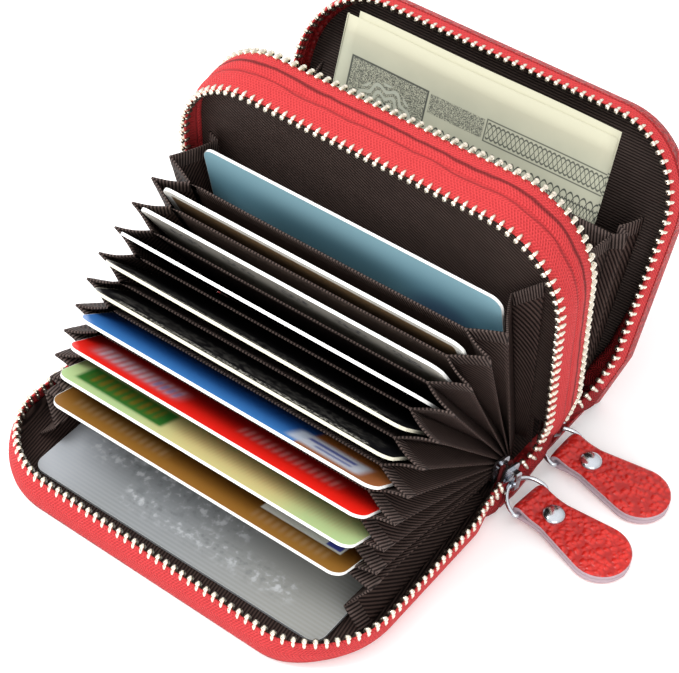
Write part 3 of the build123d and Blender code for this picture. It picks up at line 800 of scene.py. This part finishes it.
def rear_edge(x, height, out):
    """An edge on the rear pocket's plane, from its foot up."""
    return rear_spot(x, 0, out), rear_spot(x, height, out)


POCKET_HALF, POCKET_HEIGHT, POCKET_OUT = 45, 44, 1.05
GUSSET_HEIGHT = 46
rear_cloth, gussets = Sheet(), Sheet()
dividers = {side: rear_edge(side * POCKET_HALF, POCKET_HEIGHT, POCKET_OUT) for side in (-1, 1)}
add_panel(rear_cloth, dividers[-1], dividers[1], 20)
for side in (-1, 1):
    tip = rear_edge(side * PLEAT_OUT, 45.5, 0.3)
    front = (side * 44.0, 20.0, 2.4), (side * 44.6, 25.5, 47.5)
    wall = (side * 48.0, 11.2, 2.4), (side * PLEAT_OUT, 11.2, 55.0)
    add_panel(rear_cloth, dividers[side], tip, 3)
    add_panel(rear_cloth, wall, front, 5)
    add_panel(rear_cloth, front, dividers[side], 5, bow=side * -0.4)
    back = rear_edge(side * 45.3, GUSSET_HEIGHT, -0.6)
    cover = (side * 47.6, 32.4, 4.4), (side * 48.0, 51.0, 47.0)
    add_panel(gussets, tip, back, 3)
    add_panel(gussets, back, cover, 4, bow=side * 0.5)
piece = hemmed(gussets, "rear_cover_gussets", GUSSET_HEIGHT)
rear_spot(0, 30, 0.0) * MM
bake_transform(piece)
piece = hemmed(rear_cloth, "rear_pocket_cloth", POCKET_HEIGHT)
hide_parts("rear_divider", "rear_pleats_left", "rear_pleats_right")
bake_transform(piece)


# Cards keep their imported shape
CARD_HALF, CARD_HEIGHT, CARD_CORNER = 42.8, 53.98, 3.18
CARD_LIFTS = [1.0, 3.0, 5.0, 6.0, 5.0, 3.0, 2.5, 2.0, 2.0, 1.5]
FIRST_LEAN, LEAN, LEAN_STEP = 100.8, 108.8, 6.1


def card_plane(number):
    """Foot and lean of a card's plane."""
    if number > POCKETS:
        return np.array([-14.52, 2.1]), math.pi
    lean = math.radians(FIRST_LEAN if number == 1 else LEAN + LEAN_STEP * (number - 1))
    along = np.array([math.cos(lean), math.sin(lean)])
    return base_point(number - 0.5) + along * CARD_LIFTS[number - 1], lean


class Card(Look):
    """A printed card's material, its print and its painted light and shade placed by millimetres across and up
    the card.
    """

    def __init__(self, number, base, edge=(0.86, 0.86, 0.84), roughness=0.3):
        super().__init__(f"card_{number:02d}_print", roughness=roughness, Coat_Weight=0.3, Coat_Roughness=0.2)
        (foot_y, foot_z), lean = card_plane(number)
        c, s = math.cos(lean), math.sin(lean)
        self.spot = self.place()
        self.u = self.dot(self.spot, (1 / MM, 0, 0))
        self.v = self.minus(self.dot(self.spot, (0, c / MM, s / MM)), foot_y * c + foot_z * s)
        self.edge = edge
        self.now = base

    def box(self, u0, u1, v0, v1, soft=0.3):
        return self.times(self.window(self.u, u0, u1, soft), self.window(self.v, v0, v1, soft))

    def blob(self, u, v, ru, rv, soft):
        """1 inside an ellipse, with soft edges."""
        du, dv = (self.math("DIVIDE", self.minus(spot, middle), radius)
                  for spot, middle, radius in ((self.u, u, ru), (self.v, v, rv)))
        away = self.plus(self.times(du, du), self.times(dv, dv))
        return self.rest(self.step(away, 1 - soft, 1 + soft))

    def marks(self, u0, u1, v0, v1, pitch, soft=0.5):
        """A row of blurred dashes, all alike."""
        dash = self.step(self.ridge(self.u, pitch), -0.35, 1.1)
        return self.times(self.box(u0, u1, v0, v1, soft), dash)

    def specks(self, u0, u1, v0, v1, scale, soft=0.8):
        """Fine uneven specks inside a soft-edged box."""
        grains = self.step(self.noise(self.spot, scale, 2), 0.42, 0.62)
        return self.times(self.box(u0, u1, v0, v1, soft), grains)

    def finish(self, edge_in):
        """The print with the card's edge round it, by the distance in from the rounded outline."""
        du = self.minus(self.math("ABSOLUTE", self.u), CARD_HALF - CARD_CORNER)
        up = self.math("ABSOLUTE", self.minus(self.v, CARD_HEIGHT / 2))
        dv = self.minus(up, CARD_HEIGHT / 2 - CARD_CORNER)
        over_u, over_v = self.math("MAXIMUM", du, 0.0), self.math("MAXIMUM", dv, 0.0)
        square = self.plus(self.times(over_u, over_u), self.times(over_v, over_v))
        inside = self.math("MINIMUM", self.math("MAXIMUM", du, dv), 0.0)
        away = self.plus(self.math("SQRT", square), inside)
        line = CARD_CORNER - edge_in
        self.over(self.step(away, line - 0.08, line + 0.08), self.edge)
        self.color(self.now)
        self.bump(self.noise(self.spot, 900, 2), 0.01)
        return self.material


def card_materials():
    """Generic prints by card number, with painted light and shade on most cards, sizes across and up the card.
    """
    made = {}
    card = Card(1, (0.20, 0.44, 0.56))
    card.over(card.step(card.u, 0, 34), (0.13, 0.33, 0.46), 0.5)
    card.over(card.blob(-6, 36, 22, 16, 0.9), (0.07, 0.17, 0.22), 0.7)
    card.over(card.blob(26, 34, 10, 8, 0.9), (0.04, 0.07, 0.18), 0.7)
    card.over(card.blob(34, 31, 6, 6, 0.8), (0.02, 0.18, 0.22), 0.7)
    # Lighter towards the top edge: painted light, the lower card in painted shade
    card.over(card.step(card.v, 41, 53), (0.40, 0.68, 0.78), 0.8)
    made[1] = card.finish(0.08)
    card = Card(2, (0.085, 0.052, 0.026), edge=(0.85, 0.85, 0.81))
    # Lighter brown towards the top: painted light, the lower card in painted shade
    card.over(card.step(card.v, 42, 50), (0.17, 0.105, 0.055))
    made[2] = card.finish(2.3)
    card = Card(3, (0.50, 0.46, 0.38))
    # Beige only towards the top, darker lower down: painted shade between the cards
    card.over(card.step(card.v, 36, 45), (0.95, 0.90, 0.79))
    for left in (-36, -20, -4, 12, 27):
        card.over(card.specks(left, left + 9, 44.5, 49.0, 900), (0.05, 0.06, 0.13), 0.9)
    made[3] = card.finish(0.15)
    card = Card(4, (0.010, 0.008, 0.010))
    card.over(card.marks(-30, 10, 42, 45, 2.2), (0.10, 0.09, 0.08), 0.5)
    made[4] = card.finish(0.3)
    for number in (5, 6):
        card = Card(number, (0.009, 0.009, 0.011), edge=(0.66, 0.63, 0.50))
        # Pale specks along the top edge: painted highlights
        card.over(card.specks(-36, 36, 51.2, 53.2, 1300), (0.60, 0.58, 0.50), 0.9)
        card.over(card.specks(-40, 38, 43, 49.5, 700), (0.12, 0.115, 0.105), 0.8)
        made[number] = card.finish(0.15)
    card = Card(7, (0.012, 0.085, 0.34))
    # Lighter blue towards the top and darker lower down: painted light and painted shade between the cards
    card.over(card.step(card.v, 43, 53), (0.055, 0.23, 0.60), 0.9)
    card.over(card.rest(card.step(card.v, 36, 48)), (0.003, 0.014, 0.07), 0.85)
    card.over(card.times(card.step(card.u, 20, 21.5), card.step(card.v, 36, 38)), (0.36, 0.11, 0.012), 0.95)
    card.over(card.box(17.5, 37, 44.5, 52.0, 1.4), (0.62, 0.68, 0.78), 0.9)
    card.over(card.box(21, 34, 46.3, 47.9, 0.7), (0.02, 0.04, 0.30), 0.85)
    card.over(card.box(24, 34, 49.0, 50.2, 0.6), (0.02, 0.04, 0.30), 0.7)
    made[7] = card.finish(0.08)
    card = Card(8, (0.26, 0.003, 0.002))
    # Bright red only towards the top: painted light, the lower card in painted shade
    card.over(card.step(card.v, 42, 53), (0.84, 0.016, 0.008), 0.95)
    card.over(card.box(-38, -12, 44.5, 50.5, 2.2), (0.46, 0.20, 0.21), 0.55)
    card.over(card.marks(-37, -13, 45, 50, 2.0, 1.6), (0.62, 0.56, 0.60), 0.5)
    card.over(card.marks(-21, -13, 46, 49.5, 2.0, 1.0), (0.06, 0.07, 0.26), 0.6)
    card.over(card.marks(4, 32, 44, 48, 2.0, 1.4), (0.62, 0.22, 0.20), 0.5)
    made[8] = card.finish(0.08)
    card = Card(9, (0.38, 0.56, 0.26))
    card.over(card.times(card.step(card.u, -26, -4), card.rest(card.step(card.u, 16, 32))),
              (0.56, 0.52, 0.22), 0.8)
    # Darker lower down: painted shade between the cards
    card.over(card.rest(card.step(card.v, 40, 51)), (0.17, 0.15, 0.025), 0.75)
    card.over(card.box(-39, -13, 43.5, 51.2, 0.8), (0.010, 0.13, 0.014), 0.97)
    card.over(card.marks(-37, -16, 44.5, 49.5, 2.4, 1.2), (0.22, 0.14, 0.012), 0.6)
    card.over(card.marks(-10, 38, 40, 50, 0.9, 2.0), (0.30, 0.20, 0.08), 0.18)
    made[9] = card.finish(0.08)
    card = Card(10, (0.055, 0.018, 0.003))
    # Lighter towards the top: painted light, the lower card in painted shade
    card.over(card.step(card.v, 43, 53.5), (0.24, 0.105, 0.018), 0.95)
    card.over(card.marks(-38, -10, 47.5, 50.5, 2.0, 1.2), (0.28, 0.18, 0.10), 0.5)
    card.over(card.marks(16, 37, 48.5, 51.5, 2.0, 1.2), (0.28, 0.18, 0.10), 0.5)
    card.over(card.box(16, 38.5, 40, 47.6, 0.25), (0.60, 0.60, 0.60), 0.95)
    card.over(card.box(34, 38, 41, 46.9, 0.25), (0.02, 0.03, 0.30), 0.95)
    made[10] = card.finish(0.08)
    card = Card(11, (0.21, 0.225, 0.235), edge=(0.34, 0.36, 0.37), roughness=0.4)
    # Lighter left and right ends: painted reflection on the silver face
    card.over(card.step(card.u, -12, 40), (0.25, 0.25, 0.225), 0.8)
    card.over(card.rest(card.step(card.u, -44, -20)), (0.36, 0.38, 0.42), 0.6)
    card.over(card.times(card.ridge(card.v, 1.1), card.rest(card.box(-30, 34, 12, 46, 8))),
              (0.32, 0.335, 0.34), 0.35)
    # Embossed marks drawn only as painted highlights and painted shade specks
    embossing_light_and_shade = card.noise(card.spot, 520, 2)
    rows = card.math("MAXIMUM", card.box(-36, 12, 36, 42, 2.5), card.box(-20, 30, 43.5, 49, 2.5))
    card.over(card.times(rows, card.step(embossing_light_and_shade, 0.52, 0.74)), (0.48, 0.50, 0.52), 0.8)
    card.over(card.times(rows, card.rest(card.step(embossing_light_and_shade, 0.28, 0.46))), (0.11, 0.12, 0.125), 0.5)
    made[11] = card.finish(0.1)
    return made


for number, material in card_materials().items():
    paint(nodes[f"card_{number:02d}"], material)
for node, look in (("front_cover_board", board_look), ("rear_cover_board", board_look),
                   ("rear_cover_lining", lining_rear), ("middle_front_lining", lining_middle),
                   ("middle_rear_lining", lining_middle), ("spine_lining", lining_spine),
                   ("spine_leather", leather_red)):
    paint(nodes[node], look)
# The tape ends at the sliders are painted very dark: painted shade inside the sliders
for node in ("front_zip_tape_ends", "rear_zip_tape_ends"):
    paint(nodes[node], plain_look(f"{node}_cloth", (0.13, 0.006, 0.006)))
for node in ("front_slider", "rear_slider", "front_pull_ring", "rear_pull_ring"):
    paint(nodes[node], pull_metal)


# Folded notes: two leaves and a round fold, with a generic fine-line print
def paper_look():
    look = Look("note_paper", roughness=0.8)
    place = look.place()
    u = look.dot(place, (1 / MM, 0, 0))
    v = look.minus(look.dot(place, (0, notes_up[0] / MM, notes_up[1] / MM)), float(NOTES_FOOT @ notes_up))
    window = look.window

    def rosette(cu, cv, radius, petals, rings):
        """Wavy rings of fine lines round a centre."""
        du, dv = look.minus(u, cu), look.minus(v, cv)
        away = look.math("SQRT", look.plus(look.times(du, du), look.times(dv, dv)))
        angle = look.math("ARCTAN2", dv, du)
        sway = look.times(look.math("SINE", look.times(angle, petals)), 0.7)
        lines = look.step(look.ridge(look.plus(away, sway), rings), 0.35, 0.6)
        return look.times(lines, look.rest(look.step(away, radius - 0.3, radius + 0.3)))

    def braid(low, high, pitch):
        """Crossing waves of fine lines between two heights."""
        middle, swing = (low + high) / 2, (high - low) / 2 - 0.4
        line = 0.0
        for phase in (0.0, math.pi / 2, math.pi, 3 * math.pi / 2):
            turn = look.plus(look.times(u, 2 * math.pi / pitch), phase)
            wave = look.times(look.math("SINE", turn), swing)
            off = look.math("ABSOLUTE", look.minus(look.minus(v, middle), wave))
            line = look.math("MAXIMUM", line, look.rest(look.step(off, 0.12, 0.4)))
        return look.times(line, window(v, low, high))

    def area(left, right_edge, low, high, soft=0.2):
        return look.times(window(u, left, right_edge, soft), window(v, low, high, soft))

    def border(left, right_edge, low, high, wide):
        inner = area(left + wide, right_edge - wide, low + wide, high - wide, 0.1)
        return look.minus(area(left, right_edge, low, high, 0.1), inner)

    ink, medal = (0.030, 0.036, 0.032), (0.42, 0.44, 0.36)
    grain = look.step(look.noise(place, 3600, 2), 0.36, 0.60)
    beside = window(u, -9, 40)
    look.now = look.mix(look.noise(place, 120, 4), (0.37, 0.38, 0.29), (0.50, 0.50, 0.38))
    look.over(look.step(v, 56.0, 64.0), (0.50, 0.485, 0.36))
    look.over(look.times(area(-35.0, -12.0, 30, 56.5), grain), ink, 0.85)
    look.over(rosette(-23.5, 44, 9.5, 9, 1.9), medal, 0.95)
    look.over(rosette(-23.5, 44, 4.5, 6, 1.4), ink, 0.95)
    look.over(border(-35.4, -11.6, 29.6, 56.9, 0.5), ink, 0.9)
    look.over(look.times(area(-11, 5, 51.5, 56.5), grain), ink, 0.8)
    look.over(look.times(braid(51.6, 56.4, 5.2), window(u, 6, 40)), ink, 0.85)
    look.over(border(5.5, 45.0, 51.0, 57.0, 0.35), ink, 0.8)
    look.over(look.times(braid(40.5, 49.0, 7.4), beside), ink, 0.95)
    look.over(look.times(braid(42.5, 47.0, 3.7), beside), ink, 0.9)
    look.over(rosette(30, 31, 8.5, 12, 1.3), ink, 0.9)
    look.color(look.now)
    look.bump(look.noise(place, 300, 3), 0.05)
    return look.material


def note_leaf(width, height, out, bend):
    """Rows of points over one leaf of the notes, a little wavy."""
    def spot(x, t):
        swell = bend * math.sin(math.pi * (x / width + 0.5)) * t + 0.25 * math.sin(x / 9.0 + 2 * t) * t
        return rear_spot(x, height * t, out + swell)

    return [[spot(x, t) for x in np.linspace(-width / 2, width / 2, 24)] for t in np.linspace(0, 1, 16)]


NOTE_HALF, NOTE_HEIGHT = 39.0, 66.3
note = Sheet()
note.grid(note_leaf(2 * NOTE_HALF, NOTE_HEIGHT, 0.38, 0.35))
note.grid(note_leaf(77.2, 65.4, -0.15, -0.30), flip=True)
note.grid([[p + (1.4, 0, 0) for p in row] for row in note_leaf(75.6, 67.8, -0.42, -0.30)], flip=True)
note.grid([[rear_spot(-NOTE_HALF - 0.30 * math.sin(a), NOTE_HEIGHT * t, 0.10 + 0.28 * math.cos(a))
            for a in np.linspace(0, math.pi, 7)] for t in np.linspace(0, 1, 12)])
piece = note.make("banknotes", [paper_look()], thickness=0.14)
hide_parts("folded_notes")
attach(piece, "notes")


# Leather pulls: one strap folded round the ring's bar, its layers pressed together
PULL_LENGTH, PULL_LAYER = 27.7, 1.4
RIVET_ALONG = 6.4
# Where each ring's bar lies, and the pull's heading in degrees
PULL_BARS = {"front": ((57.959, -6.214, 3.25), -6.0), "rear": ((55.862, 12.465, 3.25), -1.0)}


def pull_place(name):
    """Where a pull lies: from its ring's bar down to the floor."""
    bar, heading = PULL_BARS[name]
    droop = Matrix.Rotation(math.asin((bar[2] - PULL_LAYER - 0.05) / PULL_LENGTH), 4, "Y")
    return Matrix.Translation(Vector(bar)) @ Matrix.Rotation(math.radians(heading), 4, "Z") @ droop


def pull_piece(name):
    """The strap: a loop round the bar, a straight neck up to the rivet, and a wide round tip."""
    neck, neck_end, tip = 4.7, 6.4, 7.5
    bore, taper, edge_round, swell = 0.75, 3.4, 0.5, 0.12
    centre = PULL_LENGTH - tip
    away = math.hypot(centre - neck_end, neck)
    lean = math.asin(tip / away) - math.atan2(neck, centre - neck_end)
    touch = (centre - tip * math.sin(lean), tip * math.cos(lean))

    def half_width(x):
        if x <= neck_end:
            return neck
        if x < touch[0]:
            return neck + (touch[1] - neck) * (x - neck_end) / (touch[0] - neck_end)
        return math.sqrt(max(tip**2 - (x - centre) ** 2, 0.0))

    def lifted(p, o, y, height):
        """A point of the strap across its path, at a height over the middle of its layer."""
        return (p[0] + o[0] * height, y, p[1] + o[1] * height)

    tips = [centre + tip * math.sin(a) for a in np.linspace(0, math.pi / 2, 12)]
    xs = list(np.linspace(taper, centre, 20)) + tips[1:]
    mid = PULL_LAYER / 2
    around = bore + mid
    path = [(x, -mid) for x in reversed(xs)]
    for a in map(math.radians, np.linspace(-60, -300, 17)):
        path.append((around * math.cos(a), around * math.sin(a)))
    path = np.array(path + [(x, mid) for x in xs])
    outward = np.sign(path[:, 1:]) * np.array([0.0, 1.0])
    round_part = path[:, 0] < taper - 0.1
    outward[round_part] = path[round_part] / np.linalg.norm(path[round_part], axis=1)[:, None]
    outer, inner, left, right = [], [], [], []
    for p, o in zip(path, outward):
        w = max(half_width(p[0]), 0.02)
        edge = min(edge_round, w * 0.4)
        top = [lifted(p, o, s * (w - edge), mid + swell * (1 - s**4)) for s in np.linspace(-1, 1, 17)]
        out_left, out_right = (lifted(p, o, y, mid - 0.25) for y in (-w, w))
        in_left, in_right = (lifted(p, o, y, 0.04 - mid) for y in (0.05 - w, w - 0.05))
        outer.append([out_left] + top + [out_right])
        inner.append([in_left, in_right])
        left.append([in_left, out_left])
        right.append([out_right, in_right])
    strap = Sheet().grid(outer)
    strap.grid(inner, slot=1, flip=True)
    strap.grid(left, slot=1)
    strap.grid(right, slot=1)
    turn = pull_place(name)
    strap.points = [np.array(turn @ Vector(p)) for p in strap.points]
    piece = strap.make(f"{name}_pull_strap", [leather_pull, leather_edge])
    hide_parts(f"{name}_pull")
    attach(piece, f"{name}_pull")


for name in PULL_BARS:
    pull_piece(name)

# Rivets: a domed cap on each side of the pull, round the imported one's axis. Its rings are (radius, height)
RIVET_RINGS = [(2.75, 1.45), (2.78, 1.75), (2.5, 2.12), (1.9, 2.42), (1.1, 2.62), (0.25, 2.7)]


def rivet_cap(name):
    cap = Sheet()
    place = pull_place(name)
    for side, rings in ((1, RIVET_RINGS), (-1, RIVET_RINGS[:3])):
        rows = []
        for radius, height in rings:
            row = []
            for angle in np.linspace(0, 2 * math.pi, 33):
                along, across = RIVET_ALONG + radius * math.cos(angle), radius * math.sin(angle) * side
                row.append(tuple(place @ Vector((along, across, height * side))))
            rows.append(row)
        cap.grid(rows)
        cap.fan(rows[-1][:-1])
    piece = cap.make(f"{name}_pull_rivet_caps", [pull_metal])
    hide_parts(f"{name}_pull_rivet")
    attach(piece, f"{name}_pull")


for name in PULL_BARS:
    rivet_cap(name)

# A roll of leather over the front fold, and one where the spine turns up into the rear cover
ROLL_RADIUS, ROLL_LEVEL = 0.9, 0.92
roll_line = [(FRONT_FOLD[0] + ROLL_RADIUS * math.cos(a), ROLL_LEVEL + ROLL_RADIUS * math.sin(a))
             for a in np.linspace(0, 2 * math.pi, 17)]
roll = Sheet().grid([[at(x, p) for x in np.linspace(-46.5, 46.5, 12)] for p in roll_line])
piece = roll.make("front_fold_leather", [leather_red])
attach(piece, "front_cover")
turn_up = [(30.0, 0.5), (33.0, 0.55), (34.3, 1.0), (35.0, 2.4), (36.0, 4.4)]
bend = Sheet().grid([[at(x, p) for x in np.linspace(-50.0, 50.0, 12)] for p in rounded_profile(turn_up, 3)])
piece = bend.make("rear_fold_leather", [leather_red], thickness=0.9)
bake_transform(piece)

# Leather under the front slider, between the cover and the spine
TAB_LEVEL = 0.55
tab_run = np.linspace(-9.6, 9.4, 12)
tab_edge = np.interp(tab_run, [-9.6, -4.0, 3.0, 9.4], [51.6, 52.0, 51.6, 51.0])
tab = Sheet().grid([[(45.5, y, TAB_LEVEL) for y in tab_run],
                    [(x, y, TAB_LEVEL) for x, y in zip(tab_edge, tab_run)]])
piece = tab.make("slider_fold_leather", [leather_red], thickness=0.9)
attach(piece, "front_cover")
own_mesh(piece)


# Camera, from a fit of the photo
AZIMUTH, ELEVATION, ROLL = (math.radians(a) for a in (36.98, 45.419, 0.565))
FOCAL_PIXELS = 2074.539
DISTANCE, SHIFT_RIGHT, SHIFT_UP = 517.149, 2.597, -14.498
FIT_FLOOR = 3.0
PHOTO_WIDTH, SENSOR_WIDTH = 679, 36.0
level = math.cos(ELEVATION)
back = Vector((math.sin(AZIMUTH) * level, -math.cos(AZIMUTH) * level, math.sin(ELEVATION)))
right = Vector((math.cos(AZIMUTH), math.sin(AZIMUTH), 0))
up = back.cross(right)
camera_right = right * math.cos(ROLL) + up * math.sin(ROLL)
camera_up = up * math.cos(ROLL) - right * math.sin(ROLL)
centre = back * DISTANCE - camera_right * SHIFT_RIGHT - camera_up * SHIFT_UP - Vector((0, 0, FIT_FLOOR))
camera_data = bpy.data.cameras.new("camera")
camera_data.sensor_width = SENSOR_WIDTH
camera_data.lens = FOCAL_PIXELS * SENSOR_WIDTH / PHOTO_WIDTH
camera_data.clip_start = 0.01
camera = bpy.data.objects.new("camera", camera_data)
axes = Matrix((camera_right, camera_up, back)).transposed().to_4x4()
camera.matrix_world = Matrix.Translation(centre * MM) @ axes
bpy.context.scene.collection.objects.link(camera)
bpy.context.scene.camera = camera

# Floor and soft studio light, in metres
FLOOR_HALF = 3
floor_mesh = bpy.data.meshes.new("floor")
floor_mesh.from_pydata([(x * FLOOR_HALF, y * FLOOR_HALF, 0) for x, y in ((-1, -1), (1, -1), (1, 1), (-1, 1))],
                       [], [(0, 1, 2, 3)])
floor = bpy.data.objects.new("floor", floor_mesh)
bpy.context.scene.collection.objects.link(floor)
floor_look = Look("floor", roughness=0.9, Emission_Color=(1, 1, 1, 1), Emission_Strength=0.12)
cloud = floor_look.noise(floor_look.place(), 3, 2)
floor_look.color(floor_look.mix(cloud, (0.93, 0.93, 0.93), (0.95, 0.95, 0.95)))
floor_mesh.materials.append(floor_look.material)

# A white sky, brighter towards its top
world = bpy.data.worlds.new("world")
bpy.context.scene.world = world
world.use_nodes = True
sky = world.node_tree
height = sky.nodes.new("ShaderNodeSeparateXYZ")
sky.links.new(sky.nodes.new("ShaderNodeTexCoord").outputs["Generated"], height.inputs[0])
shade = sky.nodes.new("ShaderNodeMapRange")
sky.links.new(height.outputs["Z"], shade.inputs["Value"])
for key, value in (("From Min", 0.0), ("From Max", 0.9), ("To Min", 0.6), ("To Max", 1.3)):
    shade.inputs[key].default_value = value
sky.links.new(shade.outputs["Result"], sky.nodes["Background"].inputs["Strength"])
sky.nodes["Background"].inputs["Color"].default_value = (1, 1, 1, 1)


def area_light(name, place, target, size, power):
    data = bpy.data.lights.new(name, "AREA")
    data.shape = "RECTANGLE"
    data.size, data.size_y = size
    data.energy = power
    lamp = bpy.data.objects.new(name, data)
    lamp.location = place
    lamp.rotation_euler = (Vector(target) - Vector(place)).to_track_quat("-Z", "Y").to_euler()
    bpy.context.scene.collection.objects.link(lamp)


area_light("key", (-0.45, -0.25, 0.75), (0, 0, 0.03), (0.5, 0.5), 7)
area_light("fill", (0.7, -0.6, 0.5), (0, 0, 0.03), (0.6, 0.6), 4)
bpy.context.scene.view_settings.view_transform = "Standard"
